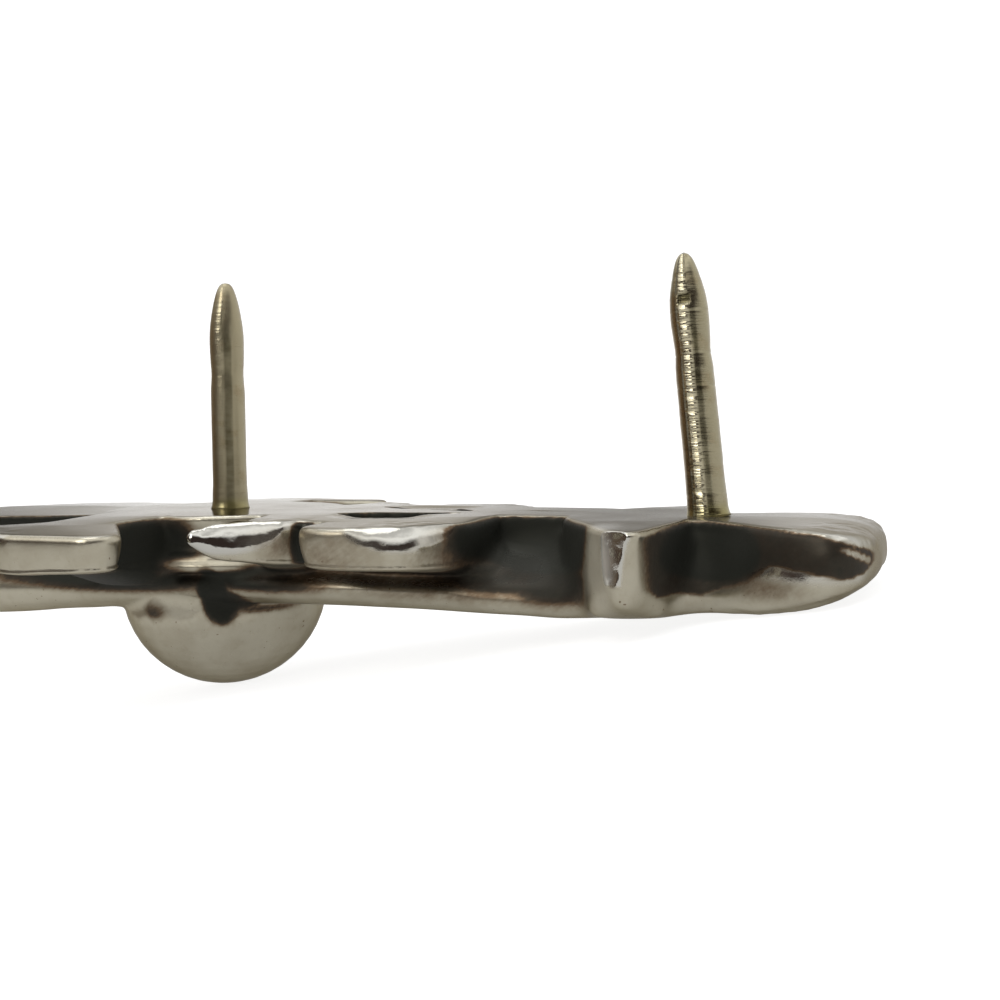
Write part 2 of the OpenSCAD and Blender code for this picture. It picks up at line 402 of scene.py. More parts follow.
def sinkLobes(points):
    across = np.abs(points[:, 1])
    (middle, side), (length, width) = lobeSink['middle'], lobeSink['size']
    far = np.hypot((points[:, 0] - middle) / length, (across - side) / width)
    opening = np.interp(points[:, 0], lobeSink['along'], lobeSink['across'])
    outside = ramp(across - opening, 0.0, lobeSink['edge'])
    sunk = lobeSink['deep'] * (1 - ramp(far, *lobeSink['fade'])) * outside
    moved = points.copy()
    moved[:, 2] -= sunk * (1 - ramp(-points[:, 2], *lobeSink['depth']))
    return moved


def domeShare(points):  # 1 on the dome, which is round already
    away = np.abs(np.linalg.norm(points - dome['middle'], axis=1) - dome['radius'])
    return (1 - ramp(away, *dome['skin'])) * ramp(-points[:, 2], *dome['depth'])


def smoothCasting(mesh):  # gives the dome's share in each point
    points, edges = readMesh(mesh)[::2]
    reach = blob(points, lobeReach['middle'], lobeReach['size'], lobeReach['soft'])
    points[:, 0] += lobeReach['shift'] * reach
    depth = -points[:, 2]
    ball = domeShare(points)
    points = relax(points, edges, np.full(len(points), 0.5), castingShape['edgeRounds'])
    walls = 0.5 * ramp(depth, *castingShape['wallDepth']) * (1 - ball)
    points = relax(points, edges, walls, castingShape['wallRounds'])
    for rounds, begin, places in smoothPlaces.values():
        share = np.max([blob(points, *place) for place in places], axis=0)
        points = relax(points, edges, 0.5 * share * ramp(depth, *begin), rounds)
    writePoints(mesh, points)
    return ball


def leanAndSwell(points, normals):
    depth = -points[:, 2]
    steep = 1 - ramp(np.abs(normals[:, 2]), *wallLean['steep'])
    leaf = ramp(points[:, 0], leafSwell['from'], leafSwell['to'])
    flange = band(depth, wallLean['depth']) * steep * (1 - ramp(points[:, 0], *wallLean['ends']))
    bulge = leaf * (1 - ramp(points[:, 0], *leafSwell['fade']))
    swell = 1 - np.clip((depth - leafSwell['depth']) / leafSwell['depth'], -1, 1) ** 2
    level = normals * (1, 1, 0)
    points = points - level * (wallLean['lean'] * (1 - leaf) * flange * depth)[:, None]
    return points + level * (leafSwell['out'] * bulge * swell * steep)[:, None]


def shapeCasting(piece):  # gives the facet's plane, by which it is polished
    ball = smoothCasting(piece.data)
    points, normals, edges = readMesh(piece.data)
    points = sinkLobes(leanAndSwell(points, normals))
    points = roundEdge(points, normals)
    plane = facetPlane(points)
    points = cutFacet(points, plane)
    wornDepth = wearField(points)[0]
    under = -points[:, 2] - wornDepth
    worn = ramp(wornDepth, *castingShape['worn']) * (1 - ramp(under, *castingShape['wornFade']))
    points = relax(points, edges, 0.5 * worn, castingShape['wornRounds'])
    over, near = overFacet(points, plane)
    facet = castingShape['facetDimple'] * near * ramp(over, *castingShape['facetEdge'])
    dimples = bumps(points, castingShape['dimpleScale']) * np.maximum(worn, facet) * castingShape['dimple']
    points = points + normals * dimples[:, None]
    waves = bumps(points, castingShape['unevenScale']) * castingShape['uneven']
    waves = waves * (1 - castingShape['domeEven'] * ball)
    writePoints(piece.data, points + normals * waves[:, None])
    thin = piece.modifiers.new('thin', 'DECIMATE')
    thin.ratio = castingShape['keep']
    applyModifiers(piece)
    return plane


casting = castingMesh()
crestPlane = shapeCasting(casting)

print('casting: patina')
patinaWork = {
    'rays': 32, 'reach': 2.6, 'lift': 0.02, 'flattest': 0.1, 'farShare': 0.6,  # how shut in each point is
    'smoothing': 3, 'shut': (0.34, 0.74), 'level': (0.6, 0.9), 'back': (0.3, 0.5),
    'cutLevel': (0.85, 0.97), 'cutDepth': (0.16, 0.3),
}
# Where oxide was left, and where shade is painted: along, across, out; size; strength; softness. Only the
# 'back' ones reach the back
darkPlaces = {
    'behindSideArm': ((0.45, 5.1, -0.95), (1.25, 1.9, 1.1), 1.0, 0.25),
    # oxide and painted shade under the flanges, in the next five
    'underSideArm': ((-3.0, 3.8, -2.05), (5.0, 1.3, 0.5), 1.0, 0.4),
    'underArmEnd': ((-1.1, 5.1, -1.85), (2.0, 1.5, 0.5), 1.0, 0.3),
    'underPetal': ((3.6, 3.2, -1.95), (2.8, 1.6, 0.42), 1.0, 0.4),
    'underLobe': ((8.0, 3.0, -1.75), (4.6, 1.4, 0.38), 0.85, 0.55),
    'underLobeBrown': ((9.6, 3.2, -2.1), (3.6, 1.4, 0.42), 0.5, 0.6),
    'lobeEnd': ((10.7, 3.4, -0.9), (1.2, 1.6, 0.9), 0.7, 0.7),
    'lobeTint': ((7.5, 5.8, -0.27), (0.7, 0.5, 0.14), 0.4, 0.8),
    'backLeaf': ((18.5, 0.8, 0.0), (2.7, 2.8, 0.3), 0.22, 0.4),
    'backArm': ((-3.5, 2.5, 0.0), (3.0, 3.5, 0.3), 0.2, 0.6),
    'petalTint': ((4.7, 4.8, -0.85), (0.6, 0.8, 0.34), 0.38, 0.8),
    'hollow': ((12.1, 2.6, -0.55), (2.55, 3.2, 1.25), 1.0, 0.16),
    'hollowFoot': ((12.7, 3.2, -1.75), (1.5, 2.4, 0.75), 0.95, 0.5),
    'hollowBand': ((11.3, 2.8, -1.72), (2.6, 1.8, 0.45), 0.9, 0.3),
    'leafHollow': ((17.2, 2.4, -0.8), (1.75, 3.0, 1.0), 1.0, 0.2),
    'leafStain': ((18.8, 2.9, -1.7), (1.1, 1.2, 0.3), 0.4, 0.8),
    'domeStain': ((-0.75, 3.3, -3.15), (0.42, 0.5, 0.24), 0.7, 0.6),
    # painted shade on the dome under the bar
    'domeShade': ((2.6, 2.0, -3.1), (1.1, 1.3, 0.12), 0.75, 0.6),
}
cleanPlaces = {  # where it was rubbed off again
    'collarLip': ((1.9, 3.8, -1.52), (1.7, 0.7, 0.24), 0.9, 0.4),
    'petalWall': ((3.6, 5.4, -0.7), (1.4, 0.9, 0.62), 0.7, 0.4),
    'lobeWall': ((8.0, 5.6, -0.75), (1.9, 1.2, 0.62), 0.6, 0.3),
    'crestWall': ((14.9, 4.6, -1.6), (1.02, 2.6, 2.4), 1.0, 0.16),
    'armWall': ((-1.5, 9.0, -0.7), (4.5, 0.9, 0.75), 1.0, 0.3),
    'barLow': ((8.0, 3.6, -2.85), (8.0, 1.2, 0.5), 0.8, 0.5),
    'bandBrown': ((6.6, 3.0, -1.98), (3.0, 0.9, 0.32), 0.55, 0.5),
}
deepPlaces = {  # and the gaps that no cloth reached; the crevice between the bars and the dome is painted shade as well
    # oxide and painted shade in the crevice where the bars meet the dome
    'crevice': ((1.5, 3.0, -2.5), (0.56, 1.4, 1.08), 1.0, 0.13),
    'creviceTail': ((2.0, 2.8, -2.7), (0.65, 1.4, 0.4), 0.95, 0.3),
    'gap': ((5.3, 4.15, -0.85), (0.42, 0.55, 1.1), 1.0, 0.25),
    'lobeWarm': ((6.9, 5.5, -0.75), (1.3, 0.8, 0.8), 0.3, 0.8),
    'petalFoot': ((4.75, 4.7, -0.6), (0.8, 0.9, 0.32), 0.34, 0.8),
    'lobeFoot': ((9.8, 4.6, -0.95), (0.9, 0.9, 0.4), 0.25, 0.8),
}
# The dark reflection painted along each side of the leaf, and the painted glint in it: upper and lower edges
# along the pin
leafPaintedReflection = {
    'along': (15.85, 16.1, 16.9, 17.7, 18.3, 19.0, 19.5, 20.2, 20.95, 21.3, 21.5),
    'top': (-0.35, -0.1, -0.06, -0.06, -0.07, -0.09, -0.12, -0.18, -0.40, -0.55, -0.7),
    'foot': (-1.5, -2.0, -2.08, -1.75, -1.35, -1.12, -1.18, -1.3, -1.38, -1.25, -1.0),
    'soft': (0, 0.07), 'ends': (15.85, 16.1, 21.4, 21.55), 'strength': 0.86, 'aside': 0.9,
}
leafGlint = {
    'along': (20.6, 20.85, 21.1, 21.4), 'top': (-0.52, -0.55, -0.62, -0.84),
    'foot': (-0.53, -0.66, -0.80, -1.0), 'soft': (-0.03, 0.03), 'strength': 0.9,
}
crestSatin = ((14.6, 4.8, -1.1), (0.6, 1.5, 1.3), 0.5)  # each crest's dull flank: place, size, softness
openings = {  # the cuts in the back, and the step beside the side arm, are black inside
    'openingLeft': ((5.6, 1.62, -0.5), (0.9, 0.5, 1.4), 1.0, 0.1),
    'openingMiddle': ((6.7, 1.46, -0.5), (1.1, 0.75, 1.4), 1.0, 0.1),
    'openingRight': ((8.0, 0.95, -0.5), (1.1, 0.6, 1.4), 1.0, 0.1),
    'armStep': ((-5.4, 3.5, -0.3), (3.4, 0.7, 0.5), 1.0, 0.15),
}


def occlusion(mesh, points, normals):
    polygons = [tuple(polygon.vertices) for polygon in mesh.polygons]
    tree = BVHTree.FromPolygons(points.tolist(), polygons)
    rays, reach = patinaWork['rays'], patinaWork['reach']
    golden = math.pi * (3 - math.sqrt(5))
    directions = []
    for i in range(rays):
        z = 1 - (2 * i + 1) / rays
        flat = math.sqrt(1 - z * z)
        directions.append(Vector((math.cos(golden * i) * flat, math.sin(golden * i) * flat, z)))
    shut = np.zeros(len(points))
    for i, (point, normal) in enumerate(zip(points.tolist(), normals.tolist())):
        normal = Vector(normal)
        point = Vector(point) + normal * patinaWork['lift']
        total = closed = 0.0
        for direction in directions:
            facing = direction.dot(normal)
            if facing > patinaWork['flattest']:
                total += facing
                hit = tree.ray_cast(point, direction, reach)
                if hit[0] is not None:
                    closed += facing * (1 - patinaWork['farShare'] * hit[3] / reach)
        shut[i] = closed / max(total, 1e-6)
    return shut


def between(points, edges):  # 1 between an upper and a lower edge along the pin
    along, height = points[:, 0], points[:, 2]
    top, foot = (np.interp(along, edges['along'], edges[edge]) for edge in ('top', 'foot'))
    return ramp(top - height, *edges['soft']) * ramp(height - foot, *edges['soft'])


# 1 where the leaf's dark reflection is painted
def paintedReflectionShare(points):
    aside = np.abs(points[:, 1]) > leafPaintedReflection['aside']
    return between(points, leafPaintedReflection) * band(points[:, 0], leafPaintedReflection['ends']) * aside


def glintShare(points):
    along, aside = points[:, 0], np.abs(points[:, 1]) > leafPaintedReflection['aside']
    inside = (along > leafGlint['along'][0]) & (along < leafGlint['along'][-1]) & aside
    return between(points, leafGlint) * inside


def patch(points, place, size, strength, soft):
    return strength * blob(points, place, size, soft)


def patinaShare(mesh, points, normals, edges):
    everywhere = np.full(len(points), 0.5)
    shut = occlusion(mesh, points, normals)
    shut = relax(shut[:, None], edges, everywhere, patinaWork['smoothing'])[:, 0]
    patina = ramp(shut, *patinaWork['shut'])
    depth = -points[:, 2]
    offTheBack = 1 - ramp(normals[:, 2], *patinaWork['level']) * (1 - ramp(depth, *patinaWork['back']))
    for name, spot in darkPlaces.items():
        where = 1 if name.startswith('back') else offTheBack
        patina = np.maximum(patina, patch(points, *spot) * where)
    for spot in cleanPlaces.values():
        patina = patina * (1 - patch(points, *spot))
    for spot in deepPlaces.values():
        patina = np.maximum(patina, patch(points, *spot) * offTheBack)
    # the leaf's dark reflection is painted into the patina, and the glint in it is painted by taking patina
    # away
    patina = np.maximum(patina, leafPaintedReflection['strength'] * paintedReflectionShare(points))
    patina = patina * (1 - leafGlint['strength'] * glintShare(points))
    cut = np.maximum(1 - ramp(normals[:, 2], *patinaWork['cutLevel']), ramp(depth, *patinaWork['cutDepth']))
    for spot in openings.values():
        patina = np.maximum(patina, patch(points, *spot) * cut)
    return relax(patina[:, None], edges, everywhere, 1)[:, 0]


# Polished: the worn edge down to a share of its depth, the back, the leaf's side and the facet, and less so
# where the leaf's dark reflection is painted
polishPlaces = {
    'worn': (0.1, 0.3), 'downTo': 0.8, 'edge': (-0.1, 0.08), 'back': (0.7, 0.95),
    'leaf': (17.6, 18.6, 21.2, 21.6), 'leafDepth': (1.2, 1.6), 'facet': (-0.06, -0.02), 'paintedReflectionDulls': 0.6,
}


def polishShare(points, normals, plane):
    depth, worn = -points[:, 2], wearField(points)[0]
    under = 1 - ramp(depth - polishPlaces['downTo'] * worn, *polishPlaces['edge'])
    over, near = overFacet(points, plane)
    shares = [
        ramp(worn, *polishPlaces['worn']) * under,
        ramp(normals[:, 2], *polishPlaces['back']),
        band(points[:, 0], polishPlaces['leaf']) * (1 - ramp(depth, *polishPlaces['leafDepth'])),
        near * ramp(over, *polishPlaces['facet'])]
    return np.max(shares, axis=0) * (1 - polishPlaces['paintedReflectionDulls'] * paintedReflectionShare(points))


def paintCasting(mesh, plane):
    points, normals, edges = readMesh(mesh)
    writeAttribute(mesh, 'patina', patinaShare(mesh, points, normals, edges))
    writeAttribute(mesh, 'polish', polishShare(points, normals, plane))
    writeAttribute(mesh, 'satin', blob(points, *crestSatin))


paintCasting(casting.data, crestPlane)
settle(casting)

silverFinish = {
    'clean': (0.45, 0.42, 0.335), 'bright': (0.50, 0.49, 0.45), 'warm': (0.30, 0.265, 0.20),
    'tarnish': (0.33, 0.29, 0.215), 'brown': (0.14, 0.096, 0.06), 'dark': (0.042, 0.032, 0.024),
    'deep': (0.022, 0.023, 0.019), 'sheen': (0.4, 0.37, 0.32),
    'torn': (0.5, 0.35, 0.4),  # how much cloud, strokes and spots tear the patina's border
    'cloudTarnish': (0.4, 0.75, 0.45), 'spotTarnish': (0.45, 0.8, 0.3), 'brownSpecks': (0.715, 0.76, 0.8),
    'satin': 0.30, 'polished': 0.09, 'oxide': 0.3, 'grainRough': 0.12, 'streakRough': 0.16, 'dull': 0.6,
    'bump': 0.3, 'bumpHeight': 0.00002, 'grainHeight': 0.5, 'streakHeight': 0.6,
}
# Each pattern's scale per mm, detail and roughness. The strokes of a cloth and the streaks along the back
# run as lines, so they have a scale for each axis, and a turn
silverPatterns = {
    'cloud': (0.9, 4), 'spots': (3.2, 3, 0.65), 'grain': (9, 3, 0.6), 'specks': (5.5, 2),
    'strokes': ((1.3, 8, 8), 3, 0.6, (0, 0.55, 0)), 'streaks': ((0.5, 9, 3), 4, 0.65, (0, 0, 0.05)),
}


def pinPlace(graph):  # the pin's own frame in mm, so that patterns follow the pin and not the table
    turn = Matrix.Rotation(-restTip, 4, 'Y')
    shift = turn @ Vector((-restShift, 0, -restHeight))
    return graph.add('ShaderNodeMapping', {}, {
        'Vector': graph.objectPlace(), 'Location': shift, 'Rotation': (0, -restTip, 0),
        'Scale': (1 / mm, 1 / mm, 1 / mm)})


def silverMaterial(look):
    graph = newMaterial('oxidisedSilver')
    place = pinPlace(graph)
    patterns = ('cloud', 'spots', 'grain', 'specks')
    cloud, spots, grain, specks = (graph.noise(place, *silverPatterns[name]) for name in patterns)
    strokes, streaks = (graph.lines(place, *silverPatterns[name]) for name in ('strokes', 'streaks'))
    patina, polish, satin = (graph.attribute(name) for name in ('patina', 'polish', 'satin'))
    border = patina * (1 - patina) * 4
    torn = sum((pattern - 0.5) * share for pattern, share in zip((cloud, strokes, spots), look['torn']))
    amount = (patina + torn * border).clamped()
    color = graph.add('ShaderNodeValToRGB', {'stops': [
        (0.0, look['clean']), (0.25, look['warm']), (0.5, look['brown']),
        (0.72, look['dark']), (1.0, look['deep'])]}, [amount])
    tarnish = graph.cover(cloud, *look['cloudTarnish']) + graph.cover(spots, *look['spotTarnish'])
    color = graph.mixColor(tarnish * (1 - polish) * (1 - amount), color, (*look['tarnish'], 1))
    color = graph.mixColor(polish * (1 - amount * 2).clamped(), color, (*look['bright'], 1))
    brown = graph.cover(specks, *look['brownSpecks']) * (1 - polish)
    color = graph.mixColor(brown * (1 - amount), color, (*look['brown'], 1))
    fine = (grain - 0.5) * look['grainRough'] + (streaks - 0.5) * look['streakRough'] * polish
    rough = polish * (look['polished'] - look['satin']) + look['satin']
    rough = (rough + fine + amount * look['oxide'] * (1 - polish)).clamped()
    metal = 1 - amount * look['dull'] - satin * (1 - amount) * look['dull']
    height = grain * look['grainHeight'] + streaks * look['streakHeight']
    bump = graph.add('ShaderNodeBump', {}, {
        'Strength': look['bump'], 'Distance': look['bumpHeight'], 'Height': height})
    return graph.finish('Principled BSDF', Base_Color=color, Metallic=metal, Roughness=rough, Normal=bump,
                        Specular_Tint=(*look['sheen'], 1), Specular_IOR_Level=0.3)


casting.data.materials.clear()
casting.data.materials.append(silverMaterial(silverFinish))
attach(casting, 'root')
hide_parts('ornament')

print('posts')
# Each post: 'outline' holds heights above the back and radii, in mm. 'worn' is the bearing of the side that
# faces the camera, and the bearings of its painted highlight, painted dark stripe and painted brown edge,
# which stand in for reflections, start from it, in degrees
centerPost = {
    'name': 'centerPost', 'node': 'center_post', 'along': 0.0, 'lean': 0.0,
    'rings': 0.004, 'dents': 0.006, 'seed': 3.0, 'worn': -56.4,
    'paintedHighlightAt': (0, 5.1, 5.7, 6.7, 7.3), 'paintedHighlightBy': (0.55, 0.5, 1.0, 1.0, 0.4),
    'sides': {'shine': (-52, -38, -24, -12), 'stripe': (-16, -9, 10, 17), 'stain': (-120, -90, -54, -44)},
    'outline': [
        (-0.1, 0.30), (-0.02, 0.66), (0.06, 0.635), (0.22, 0.605), (0.41, 0.597), (0.83, 0.58),
        (1.24, 0.575), (2.6, 0.575), (3.94, 0.572), (4.14, 0.564), (4.35, 0.549), (4.56, 0.538),
        (4.77, 0.542), (4.97, 0.556), (5.18, 0.567), (5.6, 0.573), (5.8, 0.574), (6.01, 0.564),
        (6.22, 0.547), (6.42, 0.521), (6.63, 0.489), (6.84, 0.452), (7.04, 0.409), (7.32, 0.334),
        (7.48, 0.275), (7.6, 0.212), (7.67, 0.14), (7.7, 0),
    ],
}
endPost = {
    'name': 'endPost', 'node': 'end_post', 'along': 16.6, 'lean': 5.4,
    'rings': 0.006, 'dents': 0.010, 'seed': 8.0, 'worn': -78.6,
    'paintedHighlightAt': (0, 7.8), 'paintedHighlightBy': (1.0, 1.0),
    'sides': {'shine': (-44, -30, -12, 5), 'stripe': (-3, 3, 15, 21), 'stain': (-120, -90, -48, -38)},
    'nick': {'height': (6.18, 6.26, 6.5, 6.62), 'bearing': (-38, -32, 4, 12), 'deep': 0.025},
    'outline': [
        (-0.1, 0.30), (-0.04, 0.67), (0.06, 0.64), (0.2, 0.61), (0.38, 0.60), (0.58, 0.598),
        (0.635, 0.582), (0.70, 0.592), (0.88, 0.587), (1.41, 0.578), (2.65, 0.572), (3.54, 0.567),
        (3.77, 0.566), (3.80, 0.556), (3.84, 0.562), (4.08, 0.56), (4.43, 0.552), (4.61, 0.535),
        (4.73, 0.527), (4.77, 0.512), (4.81, 0.524), (4.95, 0.522), (5.15, 0.54), (5.32, 0.553),
        (5.5, 0.561), (5.68, 0.566), (5.98, 0.567), (6.02, 0.560), (6.05, 0.574), (6.12, 0.566),
        (6.27, 0.558), (6.45, 0.541), (6.63, 0.51), (6.81, 0.474), (6.98, 0.432), (7.16, 0.387),
        (7.34, 0.338), (7.52, 0.277), (7.65, 0.215), (7.74, 0.14), (7.8, 0),
    ],
}
postMake = {
    'row': 0.07, 'sides': 56, 'ringScale': 7, 'ringFade': 0.4,
    'dentsFrom': 0.3, 'dentScale': (2.2, 2.2, 1.6), 'radius': 0.57,
    'foot': (0.12, 0.5), 'plainTip': (5.9, 6.8), 'wander': 6, 'wanderScale': 0.9, 'nickPaintedDark': 1.7,
}


def postNick(shape, bearings, heights):  # 1 where the post has a nick
    if 'nick' not in shape:
        return np.zeros(len(heights))
    return band(bearings, shape['nick']['bearing']) * band(heights, shape['nick']['height'])


def postRows(shape):  # the outline with points added on its long stretches
    rows = []
    for (low, narrow), (high, wide) in zip(shape['outline'], shape['outline'][1:]):
        parts = max(1, round((high - low) / postMake['row']))
        rows += [(low + (high - low) * i / parts, narrow + (wide - narrow) * i / parts) for i in range(parts)]
    return rows + [shape['outline'][-1]]


def turnPost(bm, shape):  # a chain of points spun about the axis
    chain = []
    for height, radius in postRows(shape):
        spot = Vector((height * postMake['ringScale'], shape['seed'], 0))
        ring = noise.noise(spot) * shape['rings'] * min(1, radius / postMake['ringFade'])
        chain.append(bm.verts.new((max(radius + ring, 0), 0, height)))
    for low, high in zip(chain, chain[1:]):
        bm.edges.new((low, high))
    bmesh.ops.spin(bm, geom=bm.verts[:] + bm.edges[:], cent=(0, 0, 0), axis=(0, 0, 1), angle=2 * math.pi,
                   steps=postMake['sides'], use_merge=True)
    bmesh.ops.remove_doubles(bm, verts=bm.verts, dist=1e-4)
    bmesh.ops.holes_fill(bm, edges=[edge for edge in bm.edges if edge.is_boundary])
    bmesh.ops.smooth_vert(bm, verts=[v for v in bm.verts if v.co.z > 0.1], factor=0.4,
                          use_axis_x=True, use_axis_y=True, use_axis_z=False)


def dentPost(bm, shape):
    across, aside, upward = postMake['dentScale']
    for vert in bm.verts:
        if vert.co.z > postMake['dentsFrom']:
            spot = Vector((vert.co.x * across, vert.co.y * aside, vert.co.z * upward + shape['seed']))
            vert.co += vert.co.xy.to_3d() * noise.noise(spot) * shape['dents'] / postMake['radius']


def paintPost(mesh, shape, bearings, heights, nick):  # a painted highlight on one side, and a painted dark stripe and brown edge beside it, in place of reflections
    spots = [Vector((height * postMake['wanderScale'], shape['seed'], 4)) for height in heights.tolist()]
    bearings = bearings + np.array([noise.noise(spot) for spot in spots]) * postMake['wander']
    belowTip = 1 - ramp(heights, *postMake['plainTip'])
    # the highlight, dark stripe and brown edge are painted by bearing from the camera, as a painted highlight
    # and painted reflections
    for side, edges in shape['sides'].items():
        share = band(bearings, edges)
        if side == 'shine':
            share = share * np.interp(heights, shape['paintedHighlightAt'], shape['paintedHighlightBy']) * (1 - nick)
        else:
            share = share * belowTip
        # the nick is painted dark as well, as a painted reflection
        if side == 'stripe':
            share = np.maximum(share, postMake['nickPaintedDark'] * nick)
        writeAttribute(mesh, side, share)
    writeAttribute(mesh, 'foot', 1 - ramp(heights, *postMake['foot']))


def postShape(shape):
    bm = bmesh.new()
    turnPost(bm, shape)
    dentPost(bm, shape)
    bmesh.ops.recalc_face_normals(bm, faces=bm.faces)
    bearings = np.array([math.degrees(math.atan2(vert.co.y, vert.co.x)) for vert in bm.verts])
    bearings = (bearings - shape['worn'] + 180) % 360 - 180
    heights = np.array([vert.co.z for vert in bm.verts])
    nick = postNick(shape, bearings, heights)
    for vert, share in zip(bm.verts, nick.tolist()):
        if share > 0:
            vert.co -= vert.co.xy.to_3d().normalized() * share * shape['nick']['deep']
    lean = Matrix.Rotation(-math.radians(shape['lean']), 4, 'Y')
    bmesh.ops.transform(bm, matrix=Matrix.Translation((shape['along'], 0, 0)) @ lean, verts=bm.verts)
    mesh = bpy.data.meshes.new(shape['name'])
    bm.to_mesh(mesh)
    bm.free()
    paintPost(mesh, shape, bearings, heights, nick)
    return newObject(shape['name'], mesh)


# 'shine' sets the ripples on the painted highlight; 'highlightPaint' and 'stain' set how strong those painted
# layers are
postFinish = {
    'centerPost': {
        'metal': (0.34, 0.30, 0.20), 'rough': 0.36, 'lines': 0.08, 'brown': 0.3, 'marks': 0.12, 'shine': 0.2,
        'highlightPaint': 0.35, 'stain': 0.25},
    'endPost': {
        'metal': (0.34, 0.305, 0.205), 'rough': 0.22, 'lines': 0.12, 'brown': 0.3, 'marks': 0.2, 'shine': 0.7,
        'highlightPaint': 0.85, 'stain': 0.6},
}
postColors = {  # each layer of tarnish or wear, and the painted highlight, dark stripe and brown edge, from the lowest
    'brown': (0.25, 0.155, 0.075), 'green': (0.20, 0.20, 0.10), 'stain': (0.24, 0.125, 0.05),
    'stripe': (0.085, 0.075, 0.04), 'highlightPaint': (0.58, 0.53, 0.38), 'foot': (0.27, 0.24, 0.09),
    'mark': (0.13, 0.105, 0.06),
}
# The same on both posts: where each layer covers, how much of it follows the broad pattern, and the bumps
postWear = {
    'brown': (0.5, 0.72), 'green': (0.54, 0.66, 0.3), 'mark': (0.62, 0.78, 0.6), 'foot': 0.55,
    'stain': (0.4, 0.6), 'stripe': (0.1, 1.1),
    'rough': 0.14, 'bumpHeight': 0.00003, 'grainHeight': 0.3, 'rippleHeight': 6,
}
postPatterns = {
    'marks': ((0.7, 0.7, 16), 4, 0.7), 'broad': ((1.2, 1.2, 2.2), 3), 'ripples': ((0.7, 0.7, 6.0), 2),
    'grain': (14, 3, 0.6),
}


def postMaterial(name, look):  # drawn nickel brass: turning marks round it, brown and green tarnish, and a painted highlight, dark stripe and brown edge in place of reflections
    graph = newMaterial(name + 'Metal')
    place = pinPlace(graph)
    grain = graph.noise(place, *postPatterns['grain'])
    marks, broad, ripples = (
        graph.lines(place, *postPatterns[pattern]) for pattern in ('marks', 'broad', 'ripples'))
    shine, stripe, stain, foot = (graph.attribute(side) for side in ('shine', 'stripe', 'stain', 'foot'))
    color = (*look['metal'], 1)
    (brownEdgeBase, brownEdgeBroad), (darkStripeBase, darkStripeBroad) = postWear['stain'], postWear['stripe']
    # 'stain' and 'stripe' are painted reflections, 'highlightPaint' a painted highlight
    layers = [
        ('brown', graph.cover(broad, *postWear['brown'], look['brown'])),
        ('green', graph.cover(grain * 0.5 + broad * 0.5, *postWear['green'])),
        ('stain', stain * (brownEdgeBase + broad * brownEdgeBroad) * look['stain']),
        ('stripe', (stripe * (darkStripeBase + broad * darkStripeBroad)).clamped()),
        ('highlightPaint', shine * look['highlightPaint']),
        ('foot', foot * postWear['foot']),
        ('mark', graph.cover(marks, *postWear['mark']))]
    for layer, share in layers:
        color = graph.mixColor(share, color, (*postColors[layer], 1))
    fine = (grain - 0.5) * postWear['rough'] + (marks - 0.5) * look['lines']
    rough = (fine + look['rough']).clamped()
    height = (marks + grain * postWear['grainHeight']) * look['marks']
    height = height + ripples * shine * look['shine'] * postWear['rippleHeight']
    bump = graph.add('ShaderNodeBump', {}, {
        'Strength': 1.0, 'Distance': postWear['bumpHeight'], 'Height': height})
    return graph.finish('Principled BSDF', Base_Color=color, Metallic=1.0, Roughness=rough, Normal=bump)


for shape in (centerPost, endPost):
    post = postShape(shape)
    settle(post)
    post.data.materials.append(postMaterial(shape['name'], postFinish[shape['name']]))
    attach(post, 'root')
    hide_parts(shape['node'])

print('studio')
bpy.context.scene.view_settings.view_transform = 'Standard'
paperShape = {'left': -0.6, 'wide': 1.2, 'near': -0.3, 'far': 0.25, 'high': 0.35, 'bend': 0.12}
# The paper as the camera sees it, and as the pin reflects it: its floor, then its wall by places along it
paperLook = {
    'paper': (0.30, 0.30, 0.30), 'seen': 0.85, 'glow': 0.48, 'floor': (0.0, 0.03), 'wall': 0.2,
    'middle': (-0.27, -0.15, -0.105, -0.04), 'middleGlow': 0.65, 'right': (-0.03, 0.0), 'rightGlow': 0.5,
}
# The air by its height: the surroundings, what stands above them, the bright air, and the ceiling
studio = {
    'front': (0.36, -0.93, 0.0), 'right': (0.93, 0.36, 0.0), 'seen': (1.0, 1.0, 1.0), 'split': (0.08, 0.16),
    'air': (1.5, 1.5, 1.5), 'top': (0.42, 0.72), 'ceiling': (0.9, 0.9, 0.89), 'overhead': (0.74, 0.92),
    'window': (4.5, 4.4, 4.2), 'windowSide': (-58, -48, -22, -12), 'windowHigh': (0.36, 0.44, 0.72, 0.8),
}
darkSide = [  # colours by their bearing from the camera in degrees, right positive
    (-180, (0.7, 0.68, 0.62)), (-150, (0.42, 0.35, 0.25)), (-118, (0.28, 0.21, 0.14)),
    (-95, (0.11, 0.08, 0.062)), (-60, (0.05, 0.034, 0.03)),
]
surroundings = darkSide + [
    (0, (0.05, 0.037, 0.032)), (24, (0.05, 0.04, 0.035)), (42, (0.75, 0.74, 0.71)),
    (100, (0.95, 0.95, 0.93)), (180, (1.0, 1.0, 0.99)),
]
higherUp = darkSide + [
    (50, (0.05, 0.037, 0.032)), (74, (0.9, 0.88, 0.85)), (180, (1.0, 1.0, 0.99)),
]


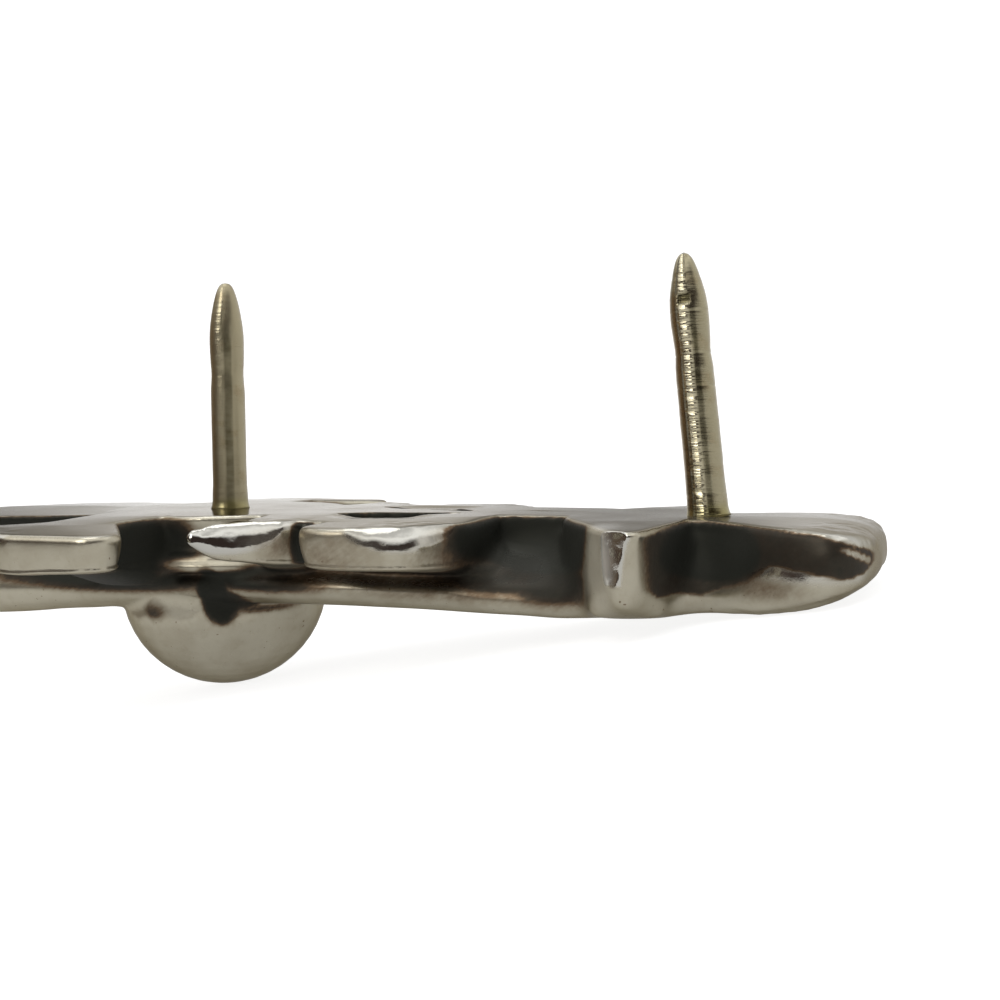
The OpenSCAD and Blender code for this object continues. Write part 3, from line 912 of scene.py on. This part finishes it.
def stagePaper(size):
    bm = bmesh.new()
    left, back, bend = size['left'], size['far'] - size['bend'], size['bend']
    corner = bm.verts.new((left, size['near'], 0))
    level = bm.verts.new((left, back, 0))
    bm.edges.new((corner, level))
    middle = (left, back, bend)
    rise = bmesh.ops.spin(bm, geom=[level], cent=middle, axis=(1, 0, 0), angle=math.pi / 2, steps=16)
    top = [v for v in rise['geom_last'] if isinstance(v, bmesh.types.BMVert)]
    wall = bmesh.ops.extrude_vert_indiv(bm, verts=top)['verts']
    bmesh.ops.translate(bm, verts=wall, vec=(0, 0, size['high'] - bend))
    sheet = bmesh.ops.extrude_edge_only(bm, edges=bm.edges[:])['geom']
    edge = [v for v in sheet if isinstance(v, bmesh.types.BMVert)]
    bmesh.ops.translate(bm, verts=edge, vec=(size['wide'], 0, 0))
    bmesh.ops.recalc_face_normals(bm, faces=bm.faces)
    return bm


def paperMaterial(look):  # glows a little, so that the pin throws only a faint shadow on it
    graph = newMaterial('stagePaper')
    seen = graph.add('ShaderNodeLightPath', {}, {}, 'Is Camera Ray')
    along, high = (graph.add('ShaderNodeSeparateXYZ', {}, [graph.objectPlace()], axis) for axis in 'XZ')
    wall = graph.band(along, look['middle']) * look['middleGlow'] + look['wall']
    wall = wall + graph.mapRange(along, *look['right']) * look['rightGlow']
    unseen = graph.mapRange(high, *look['floor']) * (wall - look['glow']) + look['glow']
    glow = seen * look['seen'] + (1 - seen) * unseen
    return graph.finish('Principled BSDF', Base_Color=(*look['paper'], 1), Roughness=0.9,
                        Specular_IOR_Level=0.2, Emission_Color=(1, 1, 1, 1), Emission_Strength=glow)


paper = bpy.data.meshes.new('paper')
sheet = stagePaper(paperShape)
sheet.to_mesh(paper)
sheet.free()
paper.shade_smooth()
paper.materials.append(paperMaterial(paperLook))
newObject('paper', paper)


def turnShare(degrees):
    return degrees / 360 + 0.5


def studioAir(look):  # the surroundings stand round the pin up to a height, and above them all is bright
    graph = Graph(bpy.data.worlds.new('studioAir'))
    towards = graph.add('ShaderNodeTexCoord', {}, {}, 'Generated')
    dot = {'operation': 'DOT_PRODUCT'}
    front, right = (
        graph.add('ShaderNodeVectorMath', dot, [towards, look[side]], 'Value') for side in ('front', 'right'))
    turn = graph.add('ShaderNodeMath', {'operation': 'ARCTAN2'}, [right, front])
    bearing = turn * (0.5 / math.pi) + 0.5
    high = graph.add('ShaderNodeSeparateXYZ', {}, [towards], 'Z')
    rings = []
    for ring in (surroundings, higherUp):
        stops = [(turnShare(degrees), color) for degrees, color in ring]
        rings.append(graph.add('ShaderNodeValToRGB', {'stops': stops}, [bearing]))
    color = graph.mixColor(graph.mapRange(high, *look['split']), *rings)
    window = graph.band(bearing, [turnShare(degrees) for degrees in look['windowSide']])
    window = window * graph.band(high, look['windowHigh'])
    color = graph.mixColor(graph.mapRange(high, *look['top']), color, (*look['air'], 1))
    color = graph.mixColor(graph.mapRange(high, *look['overhead']), color, (*look['ceiling'], 1))
    color = graph.mixColor(window, color, (*look['window'], 1))
    seen = graph.add('ShaderNodeLightPath', {}, {}, 'Is Camera Ray')
    color = graph.mixColor(seen, color, (*look['seen'], 1))
    bpy.context.scene.world = graph.finish('Background', Color=color, Strength=1.0)


studioAir(studio)


def softLamp(look):
    data = bpy.data.lights.new('softLamp', 'AREA')
    data.shape = 'DISK'
    data.size = look['size']
    data.energy = look['energy']
    lamp = bpy.data.objects.new('softLamp', data)
    lamp.location = (0, 0, look['high'])
    bpy.context.scene.collection.objects.link(lamp)


softLamp({'size': 0.3, 'energy': 0.35, 'high': 0.45})
